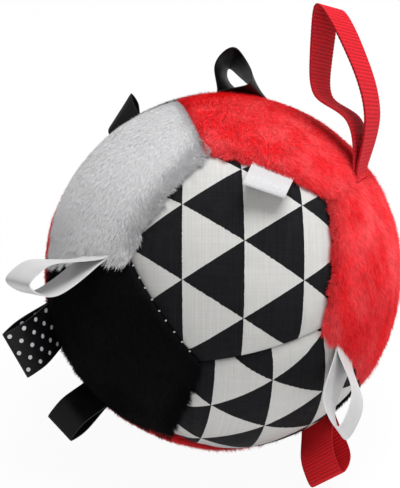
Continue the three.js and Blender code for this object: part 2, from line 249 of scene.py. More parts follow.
# The core's share of the ball's radius, and the height in metres, fineness and seed of its lumps
CORE_SHARE = 0.87
CORE_LUMPS = ((0.0016, 5, 2.0), (0.0007, 17, 5.0))

# Metres: the floor, the lamps, and where the lamps stand from the ball's centre
FLOOR_SIZE = 12
LAMP_SIZE = 0.8
KEY_PLACE = Vector((0.26, 0.04, 1.0))
FILL_PLACE = Vector((0.35, -1.1, 0.35))

# How much of what the camera sees of the floor is plain white
FLOOR_WHITE = 0.95


def length(name, description, default):
    return FloatProperty(name=name, description=description, default=default, unit="LENGTH", precision=5)


def colour(name, description, default):
    return FloatVectorProperty(
        name=name, description=description, default=default, subtype="COLOR", size=3, min=0, max=1
    )


def angle(name, description, degrees):
    return FloatProperty(
        name=name, description=description, default=math.radians(degrees), subtype="ANGLE"
    )


class BallSizes(bpy.types.PropertyGroup):
    """Sizes of the ball, its panels and what is sewn into its seams"""

    radius: length("Ball radius", "From the centre to the crown of a panel", 0.075)
    rest_depth: length("Rest depth", "How much the flat rest takes off the ball", 0.0005)
    seam_depth: length("Seam depth", "How far the stitching draws a seam in", 0.003)
    seam_reach: length("Seam reach", "From a seam to where its panel is back at full radius", 0.012)
    plush_draw: FloatProperty(
        name="Plush draw", description="Share of the seam depth that thick plush takes", default=0.15
    )
    print_draw: FloatProperty(
        name="Print draw", description="Share of the seam depth that thin cotton takes", default=0.6
    )
    crease_depth: length("Crease depth", "How much deeper the line of the seam itself lies", 0.0009)
    seam_gap: length("Seam gap", "Between a panel's edge and the middle of its seam", 0.00018)
    cloth: length("Cloth thickness", "Thickness of the cloth of a panel", 0.0011)
    allowance: length("Seam allowance", "How far a panel's edge is turned in", 0.006)
    front_turn: angle("Front turn", "Turn of the front panel about the vertical", 6.3)
    front_tilt: angle("Front tilt", "How far the front panel faces upwards", 34.9)
    front_spin: angle("Front spin", "Turn of the front panel about its own middle", 12.2)
    pile_length: length("Pile length", "Length of the plush pile", 0.0028)
    fringe: length("Fringe", "How far a plush edge spreads over its neighbour", 0.0019)
    pile_width: length("Pile width", "Width of a tuft of pile at its root", 0.00026)
    pile_depth: length("Pile depth", "How far the plush cloth lies below the tips of its pile", 0.0012)
    pile_tufts: IntProperty(name="Tufts", description="Tufts of pile on one panel", default=31000)
    stitch_pitch: length("Stitch pitch", "Between two stitches along a seam", 0.0052)
    stitch_length: length("Stitch length", "Length of the thread that shows in a stitch", 0.0013)
    thread_width: length("Thread width", "Thickness of the sewing thread", 0.0007)
    sewn_in: length("Sewn in", "How much of a ribbon's end the seam holds", 0.0055)
    rib_pitch: length("Rib pitch", "Between two ribs of the ribbed ribbon", 0.0014)
    weave_pitch: length("Weave pitch", "Between two picks of the strap's weave", 0.0016)


class ClothColours(bpy.types.PropertyGroup):
    """Colours of the cloths, ribbons and thread"""

    red: colour("Red plush", "Red panels", (0.9, 0.013, 0.023))
    # Brushed pile: brush marks in the pile, lightened as a painted sheen
    red_brushed_sheen: colour("Brushed red plush", "Red pile brushed up", (1.0, 0.15, 0.165))
    black_brushed_sheen: colour("Brushed black plush", "Black pile brushed up", (0.006, 0.006, 0.0075))
    black: colour("Black plush", "Black panels", (0.003, 0.003, 0.004))
    white: colour("White plush", "White panels", (0.71, 0.705, 0.715))
    print_ground: colour("Print ground", "Unprinted cotton", (0.6, 0.595, 0.58))
    print_ink: colour("Print ink", "Printed triangles", (0.006, 0.006, 0.0075))
    satin_white: colour("White satin", "White ribbons", (0.6, 0.595, 0.6))
    satin_black: colour("Black satin", "Black ribbons", (0.004, 0.004, 0.005))
    webbing: colour("Red webbing", "Hanging strap", (0.6, 0.01, 0.02))
    grosgrain: colour("Red ribbed ribbon", "Ribbed ribbon", (0.57, 0.009, 0.014))
    label: colour("Label", "Folded label", (0.58, 0.575, 0.585))
    thread: colour("Thread", "Sewing thread", (0.86, 0.85, 0.82))
    fibre: colour("Fibre", "Filling", (0.85, 0.84, 0.82))
    floor: colour("Floor", "Floor and backdrop", (0.9, 0.9, 0.9))


class StageSettings(bpy.types.PropertyGroup):
    """Camera and lamps"""

    distance: length("Camera distance", "From the camera to the ball's centre", 1.2)
    elevation: angle("Camera elevation", "Above the horizon", 30)
    aim_right: length("Aim right", "Where the camera aims, right of the ball's centre", -0.00973)
    aim_up: length("Aim up", "Where the camera aims, above the ball's centre", 0.0114)
    lens: FloatProperty(name="Lens", description="Focal length in millimetres", default=209.3)
    key: FloatProperty(name="Key lamp", description="Power of the large lamp above", default=12.8)
    fill: FloatProperty(name="Fill lamp", description="Power of the lamp beside the camera", default=3.6)
    sky: FloatProperty(name="Sky", description="Strength of the even light all round", default=0.3)


def sizes():
    return bpy.context.scene.ball_sizes


def colours():
    return bpy.context.scene.ball_colours


def ball_centre():
    return Vector((0, 0, sizes().radius - sizes().rest_depth))


def panel_middles():
    """The direction from the ball's centre to the middle of each panel."""
    s = sizes()
    lie = (
        Euler((0, 0, s.front_turn)).to_matrix()
        @ Euler((math.pi / 2 - s.front_tilt, 0, 0)).to_matrix()
        @ Euler((0, 0, s.front_spin)).to_matrix()
    )
    side = 2 * math.pi / PANEL_SIDES
    middles = {}
    for name, _, row, step in PANELS:
        from_front = (0, PANEL_ANGLE, math.pi - PANEL_ANGLE, math.pi)[row]
        first = math.pi / 2 - side / 2 if row == 1 else math.pi / 2
        flat = Vector((math.cos(first + side * step), math.sin(first + side * step), 0))
        middles[name] = lie @ (flat * math.sin(from_front) + Vector((0, 0, math.cos(from_front))))
    return middles


def neighbours(name, middles):
    return [other for other in middles if other != name and middles[other].dot(middles[name]) > 0]


def plane_axes(middle):
    """Level and upward directions in the plane that touches the ball at a panel's middle."""
    level = Vector((0, 0, 1)).cross(middle).normalized()
    return level, middle.cross(level)


def loop_frame(loop):
    """The hinge point of a loop and its axes: across the seam, out of the ball and along the seam."""
    joint = JOINTS[loop["joint"]]
    place = Vector(joint["pos_m"])
    along = -Vector(joint["axis"]).normalized()
    out = (place - ball_centre()).normalized()
    return place, out.cross(along), out, along


def only(obj):
    bpy.ops.object.select_all(action="DESELECT")
    obj.select_set(True)
    bpy.context.view_layer.objects.active = obj


def set_all(target, settings):
    for key, value in settings.items():
        setattr(target, key, value)


def apply_modifier(obj, kind, **settings):
    only(obj)
    modifier = obj.modifiers.new(kind.lower(), kind)
    set_all(modifier, settings)
    bpy.ops.object.modifier_apply(modifier=modifier.name)


def points_of(obj):
    flat = np.empty(len(obj.data.vertices) * 3)
    obj.data.vertices.foreach_get("co", flat)
    return flat.reshape(-1, 3)


def move_points(obj, places):
    obj.data.vertices.foreach_set("co", np.asarray(places, dtype=np.float32).ravel())
    obj.data.update()


def directions_of(obj):
    """The direction from the ball's centre to each point of a piece."""
    away = points_of(obj) - np.array(ball_centre())
    return away / np.linalg.norm(away, axis=1, keepdims=True)


def lay_uv(obj, name, grid):
    """Names a piece's UV map and fills it from two coordinates for each point."""
    layer = obj.data.uv_layers[0]
    layer.name = name
    corners = np.empty(len(obj.data.loops), dtype=np.int64)
    obj.data.loops.foreach_get("vertex_index", corners)
    layer.data.foreach_set("uv", grid[corners].astype(np.float32).ravel())


def set_points(obj, name, kind, field, values):
    """Stores a value for each point of a piece under a name."""
    store = obj.data.attributes.new(name, kind, "POINT")
    store.data.foreach_set(field, values.astype(np.float32).ravel())


def smooth_step(share):
    share = np.clip(share, 0, 1)
    return share * share * (3 - 2 * share)


class Nodes:
    """A node tree, with a short way to add nodes and join them."""

    def __init__(self, tree):
        self.tree = tree
        tree.nodes.clear()

    def join(self, source, target):
        if isinstance(source, bpy.types.NodeSocket):
            self.tree.links.new(source, target)
        else:
            target.default_value = source

    def add(self, kind, inputs=None, **settings):
        node = self.tree.nodes.new(kind)
        set_all(node, settings)
        for key, value in (inputs or {}).items():
            self.join(value, node.inputs[key])
        return node

    def math(self, operation, *values):
        return self.add("ShaderNodeMath", dict(enumerate(values)), operation=operation).outputs[0]

    def seen(self):
        """1 on what the camera sees, also in a mirror or through glass, and 0 for other light."""
        path = self.add("ShaderNodeLightPath").outputs
        mirrored = self.math("MAXIMUM", path["Is Glossy Ray"], path["Is Transmission Ray"])
        return self.math("MAXIMUM", path["Is Camera Ray"], mirrored)


class Surface(Nodes):
    """The node tree of a new material."""

    def __init__(self, name):
        self.material = bpy.data.materials.new(name)
        self.material.use_nodes = True
        super().__init__(self.material.node_tree)
        self.shader = self.add("ShaderNodeBsdfPrincipled")
        self.output = self.add("ShaderNodeOutputMaterial", {"Surface": self.shader.outputs[0]})

    def mix(self, share, dark, light):
        return self.add("ShaderNodeMix", {0: share, 6: dark, 7: light}, data_type="RGBA").outputs[2]

    def clamp(self, value, low, high, to_low=0.0, to_high=1.0):
        limits = {"From Min": low, "From Max": high, "To Min": to_low, "To Max": to_high}
        return self.add("ShaderNodeMapRange", {"Value": value, **limits}).outputs[0]

    def noise(self, vector, scale, detail=3.0, roughness=0.5):
        inputs = {"Vector": vector, "Scale": scale, "Detail": detail, "Roughness": roughness}
        return self.add("ShaderNodeTexNoise", inputs).outputs[0]

    def wave(self, value, count):
        """Rises and falls a number of times for each unit of a value."""
        return self.math("SINE", self.math("MULTIPLY", value, 2 * math.pi * count))

    def weigh(self, first, share, second, other_share):
        scaled = self.math("MULTIPLY", first, share)
        return self.math("ADD", scaled, self.math("MULTIPLY", second, other_share))

    def centred(self, value):
        """How far a value is from the middle between two whole numbers."""
        return self.math("SUBTRACT", self.math("FRACT", value), 0.5)

    def object_places(self):
        return self.add("ShaderNodeTexCoord").outputs["Object"]

    def carried(self, name):
        """A value that the points of a piece carry."""
        return self.add("ShaderNodeAttribute", attribute_name=name).outputs["Fac"]

    def grid(self, name):
        """The two coordinates of a piece's own UV map."""
        uv = self.add("ShaderNodeUVMap", uv_map=name).outputs[0]
        split = self.add("ShaderNodeSeparateXYZ", {0: uv})
        return split.outputs[0], split.outputs[1]

    def bump(self, height, strength, distance):
        inputs = {"Height": height, "Strength": strength, "Distance": distance}
        return self.add("ShaderNodeBump", inputs).outputs[0]

    def finish(self, **sockets):
        for key, value in sockets.items():
            self.join(value, self.shader.inputs[key.replace("_", " ")])
        return self.material


def rgba(value, factor=1.0):
    return (*(min(1.0, part * factor) for part in value), 1.0)


def plush_material(name, base, root_shade, light, tufted_by, sheen, tint=(1, 1, 1)):
    """Pile with painted shade at its roots, and brush marks lighter in streaks where it is brushed up,
    shown as painted sheen.
    """
    streak_turn = math.radians(-37)
    streak_scale = (1, 1, 0.38)
    nodes = Surface(name)
    places = nodes.object_places()
    along_nap = {"Vector": places, "Rotation": (streak_turn, 0, 0), "Scale": streak_scale}
    streaks = nodes.add("ShaderNodeMapping", along_nap).outputs[0]
    # Brush marks in the pile, lightened towards the light colour in streaks and patches as a painted sheen
    waves = nodes.clamp(nodes.noise(streaks, 95, 4, 0.66), 0.4, 0.62)
    strand = nodes.clamp(nodes.carried("strand"), 0.3, 1.0)
    brushed = nodes.math("MULTIPLY", nodes.math("ADD", waves, strand), 0.6)
    patches = nodes.clamp(nodes.noise(places, 38, 2), 0.35, 0.65, 0.45, 1.0)
    tufted = nodes.noise(streaks, 620, 2)
    # Painted shade at the roots: every point of a tuft but its tip takes the base colour darkened by the
    # root factor
    depth = nodes.mix(nodes.carried("tip"), rgba(base, root_shade), rgba(base))
    lit = nodes.mix(nodes.math("MULTIPLY", brushed, patches), depth, rgba(light))
    shade = nodes.clamp(tufted, 0.25, 0.75, 1 - tufted_by, 1 + tufted_by / 2)
    tone = nodes.add("ShaderNodeVectorMath", {0: lit, "Scale": shade}, operation="SCALE")
    return nodes.finish(
        Base_Color=tone.outputs[0],
        Roughness=nodes.clamp(tufted, 0.3, 0.7, 0.78, 0.95),
        Normal=nodes.bump(tufted, 0.3, 0.0005),
        Sheen_Weight=sheen,
        Sheen_Roughness=0.45,
        Sheen_Tint=rgba(tint),
        Specular_IOR_Level=0.12,
    )


def print_material(name, ground, ink):
    """Plain-woven cotton with a print of triangles that share their corners."""
    threads_across, threads_up = 44, 54
    streaks_across, streaks_up = 90.0, 90.0
    ragged_by, soft_edge, triangle_slope = 0.022, 0.003, 0.505
    nodes = Surface(name)
    column, height = nodes.grid("print_grid")
    places = nodes.object_places()
    ragged = nodes.math("MULTIPLY", nodes.math("SUBTRACT", nodes.noise(places, 1100, 2), 0.5), ragged_by)
    column_off = nodes.math("ADD", column, ragged)
    height_off = nodes.math("ADD", height, ragged)
    half_drop = nodes.math("MULTIPLY", nodes.math("FLOOR", column_off), 0.5)
    level = nodes.math("ADD", nodes.math("SUBTRACT", height_off, half_drop), 0.5)
    slope = nodes.math("MULTIPLY", nodes.math("FRACT", column_off), triangle_slope)
    edge = nodes.math("SUBTRACT", slope, nodes.math("ABSOLUTE", nodes.centred(level)))
    inked = nodes.clamp(edge, -soft_edge, soft_edge)
    warp = nodes.wave(column, threads_across)
    weft = nodes.wave(height, threads_up)
    crossed = nodes.math("MULTIPLY", nodes.math("MULTIPLY", warp, weft), 0.3)
    weave = nodes.math("ADD", nodes.math("ADD", nodes.math("MULTIPLY", warp, 0.2), crossed), 0.5)
    long_warp = {0: nodes.math("MULTIPLY", column, streaks_across), 1: height}
    long_weft = {0: column, 1: nodes.math("MULTIPLY", height, streaks_up)}
    warp_yarn, weft_yarn = (
        nodes.noise(nodes.add("ShaderNodeCombineXYZ", run).outputs[0], 1.0, 2)
        for run in (long_warp, long_weft)
    )
    yarns = nodes.weigh(warp_yarn, 1.2, weft_yarn, 0.8)
    slub = nodes.noise(places, 260, 4, 0.65)
    woven = nodes.math("ADD", nodes.math("MULTIPLY", weave, 0.6), nodes.clamp(yarns, 0.7, 1.3, 0.0, 0.3))
    cloth = nodes.mix(woven, rgba(ground, 0.7), rgba(ground, 1.26))
    worn = nodes.mix(nodes.clamp(yarns, 0.9, 1.4, 0.0, 0.4), rgba(ink, 0.7), rgba(ink, 4))
    fabric = nodes.mix(nodes.clamp(slub, 0.3, 0.7, 0.0, 0.12), cloth, rgba(ground, 0.7))
    return nodes.finish(
        Base_Color=nodes.mix(inked, fabric, worn),
        Roughness=nodes.clamp(slub, 0.3, 0.7, 0.8, 0.95),
        Normal=nodes.bump(nodes.math("ADD", weave, slub), 0.35, 0.00025),
        Specular_IOR_Level=0.15,
    )


def satin_material(name, base, dots=None):
    """Smooth ribbon with fine weft lines, with small round dots where asked."""
    threads_along, threads_across = 24, 30
    nodes = Surface(name)
    across, along = nodes.grid("ribbon_cm")
    weave = nodes.weigh(nodes.wave(along, threads_along), 0.5, nodes.wave(across, threads_across), 0.25)
    mottle = nodes.noise(nodes.object_places(), 180, 3)
    tone = nodes.mix(nodes.clamp(mottle, 0.3, 0.7), rgba(base, 0.95), rgba(base, 1.03))
    if dots:
        row = nodes.math("DIVIDE", across, DOT_PITCH)
        odd = nodes.math("MULTIPLY", nodes.math("MODULO", nodes.math("FLOOR", row), 2.0), 0.5)
        column = nodes.math("ADD", nodes.math("DIVIDE", along, DOT_STEP), odd)
        over = nodes.math("MULTIPLY", nodes.centred(row), DOT_PITCH)
        beside = nodes.math("MULTIPLY", nodes.centred(column), DOT_STEP)
        apart = nodes.math("SQRT", nodes.weigh(over, over, beside, beside))
        tone = nodes.mix(nodes.clamp(apart, *DOT_EDGE, 1.0, 0.0), tone, rgba(dots))
    return nodes.finish(
        Base_Color=tone,
        Roughness=nodes.clamp(mottle, 0.3, 0.7, 0.36, 0.5),
        Normal=nodes.bump(weave, 0.12, 0.0001),
        Anisotropic=0.4,
        Specular_IOR_Level=0.16,
    )


def ribbed_material(name, base, rib_top_highlight=1.25):
    """Dull ribbed or woven band, with painted shade between its ribs and a painted highlight on their
    tops, and worn in spots.
    """
    threads_across, threads_along = 26, 34
    nodes = Surface(name)
    across, along = nodes.grid("ribbon_cm")
    fuzz = nodes.noise(nodes.object_places(), 700, 3)
    # Painted shade in the grooves and painted highlight on the rib tops, following the rib relief
    tone = nodes.mix(nodes.clamp(nodes.carried("rib"), 0.1, 0.95), rgba(base, 0.5), rgba(base, rib_top_highlight))
    worn = nodes.mix(nodes.clamp(fuzz, 0.45, 0.8, 0.0, 0.35), tone, rgba(base, 1.5))
    weave = nodes.weigh(nodes.wave(across, threads_across), 0.5, nodes.wave(along, threads_along), 0.35)
    return nodes.finish(
        Base_Color=worn,
        Roughness=nodes.clamp(fuzz, 0.3, 0.7, 0.62, 0.8),
        Normal=nodes.bump(nodes.math("ADD", weave, fuzz), 0.25, 0.00015),
        Specular_IOR_Level=0.2,
    )


def thread_material(name, base, scale, bump=0.2):
    """Spun fibre: thread, label cloth or filling."""
    nodes = Surface(name)
    twist = nodes.noise(nodes.object_places(), scale, 4, 0.6)
    tone = nodes.mix(nodes.clamp(twist, 0.3, 0.7), rgba(base, 0.86), rgba(base, 1.06))
    return nodes.finish(
        Base_Color=tone,
        Roughness=nodes.clamp(twist, 0.3, 0.7, 0.7, 0.9),
        Normal=nodes.bump(twist, bump, 0.0002),
        Specular_IOR_Level=0.3,
    )


def flat_panel(name, middle, corner, levels):
    """A five-sided patch on the flat face of the form inside the ball, cut fine."""
    s = sizes()
    reach = s.radius * math.sin(PANEL_ANGLE / 2)
    face = s.radius * math.cos(PANEL_ANGLE / 2)
    shrink = 1 - s.seam_gap / reach
    bpy.ops.object.select_all(action="DESELECT")
    bpy.ops.mesh.primitive_circle_add(
        vertices=PANEL_SIDES, radius=shrink * reach / math.cos(math.pi / PANEL_SIDES), fill_type="NGON"
    )
    patch = bpy.context.object
    patch.name = name
    ahead = (corner - middle * corner.dot(middle)).normalized()
    aside = middle.cross(ahead)
    turn = Matrix((aside * -1, ahead, middle)).transposed().to_4x4()
    patch.data.transform(Matrix.Translation(ball_centre() + middle * face) @ turn)
    apply_modifier(patch, "SUBSURF", subdivision_type="SIMPLE", levels=levels, render_levels=levels)
    return patch


def seam_insets(directions, normals):
    """How far each direction lies from each seam plane, at the ball's radius."""
    return sizes().radius * np.stack([directions @ np.array(n) for n in normals], axis=1)


def crown_radius(inset, cloth):
    """The outside of a panel: full at its crown and drawn in at its seams. Plush lies under its pile."""
    s = sizes()
    to_seam = 1 - np.clip(inset / s.seam_reach, 0, 1)
    crease = s.crease_depth * np.exp(-inset / CREASE_REACH)
    drawn_in = s.seam_depth * to_seam**2
    if cloth == "print":
        return s.radius - s.print_draw * drawn_in - crease
    under_pile = s.pile_depth * (1 - 0.5 * np.exp(-((inset / DEPTH_REACH) ** 2)))
    return s.radius - s.plush_draw * drawn_in - crease / 3 - under_pile


def lumps(directions, scale, seed):
    return np.array([noise.noise(Vector(d) * scale + Vector((seed, 0, 0))) for d in directions])


def dome_panel(patch, cloth, normals, seed):
    """Lifts a flat patch on to the ball, with soft dents and puckers at its stitches."""
    dent_scale = 4.5
    directions = directions_of(patch)
    insets = seam_insets(directions, normals)
    nearest = insets.argmin(axis=1)
    inset = insets.min(axis=1)
    radius = crown_radius(inset, cloth)
    dents = (1 + lumps(directions, dent_scale, seed)) / 2
    radius -= DENT_DEPTH * smooth_step(inset / DENT_REACH) * dents
    along = np.empty(len(inset))
    for side, normal in enumerate(normals):
        run = np.cross(np.array(normal), directions.mean(axis=0))
        run /= np.linalg.norm(run)
        along = np.where(nearest == side, sizes().radius * (directions @ run), along)
    pucker = np.sin(2 * math.pi * along / sizes().stitch_pitch + seed)
    radius += PUCKER_DEPTH * pucker * np.exp(-inset / PUCKER_REACH) * smooth_step(inset / PUCKER_START)
    move_points(patch, np.array(ball_centre()) + directions * radius[:, None])
    return inset


def pin_edges(patch, inset):
    group = patch.vertex_groups.new(name="seam")
    group.add(np.nonzero(inset < PIN_REACH)[0].tolist(), 1.0, "REPLACE")


def swell(patches):
    """Lets the cloth of each panel fill out under the pressure of the filling, held at its seams."""
    scene = bpy.context.scene
    starts = {patch: points_of(patch) for patch in patches}
    for patch in patches:
        cloth = patch.modifiers.new("fill", "CLOTH")
        set_all(cloth.settings, FILL_CLOTH)
        cloth.settings.effector_weights.gravity = 0
        cloth.point_cache.frame_end = FILL_STEPS
    for step in range(1, FILL_STEPS + 1):
        scene.frame_set(step)
    for patch in patches:
        only(patch)
        bpy.ops.object.modifier_apply(modifier="fill")
        moved = points_of(patch) - starts[patch]
        far = np.linalg.norm(moved, axis=1, keepdims=True)
        move_points(patch, starts[patch] + moved * np.minimum(1, FILL_MOST / np.maximum(far, 1e-9)))
    scene.frame_set(1)


def part_seams(patch, normals):
    """Opens a panel's edge a little where a ribbon comes out of its seam, and flattens its rest."""
    centre = np.array(ball_centre())
    places = points_of(patch)
    for loop in LOOPS.values():
        place, across, out, along = loop_frame(loop)
        for normal in normals:
            if abs(abs(across.dot(normal)) - 1) > 1e-3:
                continue
            offset = places - np.array(place)
            beside = np.abs(offset @ np.array(along)) / MM
            depth = (places - centre) @ np.array(normal) / MM
            near = (offset @ np.array(out)) / MM > -PARTED_BELOW
            share = smooth_step((loop["width"] / 2 + PARTED_BESIDE - beside) / PARTED_BESIDE)
            shift = (loop["thickness"] + PARTED_ROOM) * MM * share * np.exp(-depth / PARTED_FADE) * near
            places += shift[:, None] * np.array(normal)
    places[:, 2] = np.maximum(places[:, 2], CLOTH_REST)
    move_points(patch, places)


def close_panel(patch):
    """Turns the edge of a panel in and gives the cloth its thickness."""
    s = sizes()
    only(patch)
    bpy.ops.object.mode_set(mode="EDIT")
    bpy.ops.mesh.select_mode(type="EDGE")
    bpy.ops.mesh.select_all(action="DESELECT")
    bpy.ops.mesh.select_non_manifold(
        extend=False, use_wire=False, use_boundary=True, use_multi_face=False,
        use_non_contiguous=False, use_verts=False,
    )
    bpy.ops.mesh.extrude_edges_move()
    turned = 1 - s.allowance / (s.radius - s.seam_depth)
    bpy.ops.transform.resize(value=(turned, turned, turned), center_override=ball_centre())
    bpy.ops.object.mode_set(mode="OBJECT")
    apply_modifier(patch, "SOLIDIFY", thickness=s.cloth, offset=-1, use_rim=True)


def pile_growth(patch, cloth, normals, others):
    """Where the pile roots, which way it lies, how thick it stands and how long it is.

    It lies down the ball, and in clumps over the edge of a print or darker neighbour.
    """
    places = points_of(patch)
    directions = directions_of(patch)
    insets = seam_insets(directions, normals)
    fall = np.array(NAP_FALL) - directions * (directions @ np.array(NAP_FALL))[:, None]
    noise.seed_set(SWIRL_SEED)
    swirl = np.array([noise.noise_vector(Vector(d) * SWIRL_SCALE) for d in directions])
    swirl *= NAP_SWIRL[cloth]
    fall = fall / np.maximum(np.linalg.norm(fall, axis=1, keepdims=True), 0.25) + swirl
    fall -= directions * (fall * directions).sum(axis=1, keepdims=True)
    ways = fall * math.cos(NAP_RISE[cloth]) + directions * math.sin(NAP_RISE[cloth])
    tall = np.ones(len(directions))
    clump = np.clip(CLUMP_MIDDLE + CLUMP_SWING * lumps(directions, CLUMP_SCALE, CLUMP_SEED), *CLUMP_LIMITS)
    for inset, normal, other in zip(insets.T, normals, others):
        covers = other in PILE_COVERS[cloth]
        edge = OVER_EDGE if covers else MET_EDGE
        fringe = sizes().fringe * FRINGE_SHARE[cloth] if covers else 0.0
        near = np.exp(-((inset / (TURN_REACH + 2 * fringe)) ** 2)) * edge["turned"]
        over = directions * EDGE_RISE - np.array(normal) * edge["across"]
        ways = ways * (1 - near)[:, None] + over * near[:, None]
        tall += near * clump * edge["longer"]
        spread = (fringe * near * clump)[:, None]
        places = places - spread * np.array(normal) + directions * spread * FRINGE_LIFT
    thick = 1 + EDGE_THICKER * np.exp(-insets.min(axis=1) / THICK_REACH)
    return places, ways, thick, tall


def pile_tuft(material):
    """One tuft: a slim closed spike, rooted a little below the cloth."""
    s = sizes()
    bpy.ops.object.select_all(action="DESELECT")
    bpy.ops.mesh.primitive_cone_add(
        vertices=3, radius1=s.pile_width / 2, radius2=0, depth=s.pile_length
    )
    tuft = bpy.context.object
    tuft.data.transform(Matrix.Translation((0, 0, s.pile_length * TUFT_RISE)))
    heights = points_of(tuft)[:, 2]
    # The tip keeps the full colour; the plush material paints shade on the rest of the tuft
    set_points(tuft, "tip", "FLOAT", "value", heights > 0.9 * heights.max())
    tuft.data.materials.append(material)
    return tuft


def pile_nodes(tuft, tufts_per_area, stray_by, seed):
    """Scatters tufts over a panel, each along its own way and of its own length."""
    group = bpy.data.node_groups.new("plush_pile", "GeometryNodeTree")
    for way in ("INPUT", "OUTPUT"):
        group.interface.new_socket("Geometry", in_out=way, socket_type="NodeSocketGeometry")
    nodes = Nodes(group)

    def grown(name, kind="FLOAT"):
        node = nodes.add("GeometryNodeInputNamedAttribute", data_type=kind)
        node.inputs["Name"].default_value = name
        return node.outputs["Attribute"]

    def drawn(kind, limits, draw):
        inputs = {**limits, "Seed": seed + draw}
        return nodes.add("FunctionNodeRandomValue", inputs, data_type=kind).outputs

    cloth = nodes.add("NodeGroupInput").outputs[0]
    dense = nodes.math("MULTIPLY", grown("pile_thick"), tufts_per_area)
    scatter = nodes.add(
        "GeometryNodeDistributePointsOnFaces",
        {"Mesh": cloth, "Density": dense, "Seed": seed},
        distribute_method="RANDOM",
    )
    stray = drawn("FLOAT_VECTOR", {0: (-stray_by,) * 3, 1: (stray_by,) * 3}, 1)[0]
    lie = nodes.add(
        "ShaderNodeVectorMath", {0: grown("pile_way", "FLOAT_VECTOR"), 1: stray}, operation="ADD"
    )
    turn = nodes.add("FunctionNodeAlignRotationToVector", {"Vector": lie.outputs[0]}, axis="Z")
    wide = drawn("FLOAT", {2: TUFT_SHORTEST, 3: TUFT_LONGEST}, 2)[1]
    long = nodes.math("MULTIPLY", wide, grown("pile_tall"))
    planting = {
        "Points": scatter.outputs["Points"],
        "Instance": nodes.add("GeometryNodeObjectInfo", {"Object": tuft}).outputs["Geometry"],
        "Rotation": turn.outputs[0],
        "Scale": nodes.add("ShaderNodeCombineXYZ", {0: wide, 1: wide, 2: long}).outputs[0],
    }
    plant = nodes.add("GeometryNodeInstanceOnPoints", planting)
    mark = nodes.add(
        "GeometryNodeStoreNamedAttribute",
        {"Geometry": plant.outputs[0], "Name": "strand", "Value": drawn("FLOAT", {}, 3)[1]},
        data_type="FLOAT",
        domain="INSTANCE",
    )
    real = nodes.add("GeometryNodeRealizeInstances", {0: mark.outputs[0]})
    nodes.add("NodeGroupOutput", {0: real.outputs[0]})
    return group


def grow_pile(patch, cloth, normals, others, material, seed):
    """A copy of the panel's cloth that holds only its pile."""
    only(patch)
    bpy.ops.object.duplicate()
    pile = bpy.context.object
    places, ways, thick, tall = pile_growth(pile, cloth, normals, others)
    move_points(pile, places)
    set_points(pile, "pile_way", "FLOAT_VECTOR", "vector", ways)
    set_points(pile, "pile_thick", "FLOAT", "value", thick)
    set_points(pile, "pile_tall", "FLOAT", "value", tall)
    area = sum(face.area for face in pile.data.polygons)
    tuft = pile_tuft(material)
    tree = pile_nodes(tuft, sizes().pile_tufts / area, NAP_STRAY[cloth], seed)
    apply_modifier(pile, "NODES", node_group=tree)
    bpy.data.objects.remove(tuft)
    bpy.data.node_groups.remove(tree)
    places = points_of(pile)
    places[:, 2] = np.maximum(places[:, 2], PILE_REST)
    move_points(pile, places)
    return pile


def print_map(patch, name, middle):
    """A UV map in columns and corners of the print, laid on the panel as it was cut."""
    column, corner, turn, right, up = PRINT_LAY[name]
    level, rise = plane_axes(middle)
    away = directions_of(patch)
    flat = np.stack([away @ np.array(level), away @ np.array(rise)], axis=1)
    reach = np.maximum(np.linalg.norm(flat, axis=1), 1e-9)
    from_middle = np.arccos(np.clip(away @ np.array(middle), -1, 1))
    rim = np.maximum(from_middle, PRINT_RIM)
    pulled_flat = (np.sin(rim) - math.sin(PRINT_RIM)) / math.cos(PRINT_RIM)
    run = (np.minimum(from_middle, PRINT_RIM) + pulled_flat) * sizes().radius / MM
    flat = flat * (run / reach)[:, None] - np.array((right, up))
    c, s = math.cos(math.radians(turn)), math.sin(math.radians(turn))
    lay_uv(patch, "print_grid", np.stack([(flat @ (c, s)) / column, (flat @ (-s, c)) / corner], axis=1))


def make_panels(cloths, looks, levels):
    """Makes the panels of some cloths: shaped flat, domed, filled out, finished and hung in place."""
    middles = panel_middles()
    made = []
    for seed, (name, cloth, _, _) in enumerate(PANELS):
        if cloth not in cloths:
            continue
        middle = middles[name]
        others = neighbours(name, middles)
        normals = [(middle - middles[other]).normalized() for other in others]
        near = others[0]
        beside = next(o for o in others[1:] if middles[o].dot(middles[near]) > 0)
        corner = (middle + middles[near] + middles[beside]).normalized()
        patch = flat_panel(name + "_cloth", middle, corner, levels)
        pin_edges(patch, dome_panel(patch, cloth, normals, seed))
        made.append((seed, name, cloth, patch, normals, others))
    swell([patch for _, _, _, patch, _, _ in made])
    for seed, name, cloth, patch, normals, others in made:
        patch.vertex_groups.clear()
        part_seams(patch, normals)
        apply_modifier(patch, "SUBSURF", levels=1, render_levels=1)
        material = looks[cloth]
        pile = None
        if cloth != "print":
            pile = grow_pile(patch, cloth, normals, others, material, 10 * seed + 3)
        close_panel(patch)
        patch.data.materials.clear()
        patch.data.materials.append(material)
        only(patch)
        bpy.ops.object.shade_smooth()
        if pile:
            pile.select_set(True)
            bpy.ops.object.join()
        else:
            print_map(patch, name, middles[name])
        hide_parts(name)
        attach(patch, "ball")


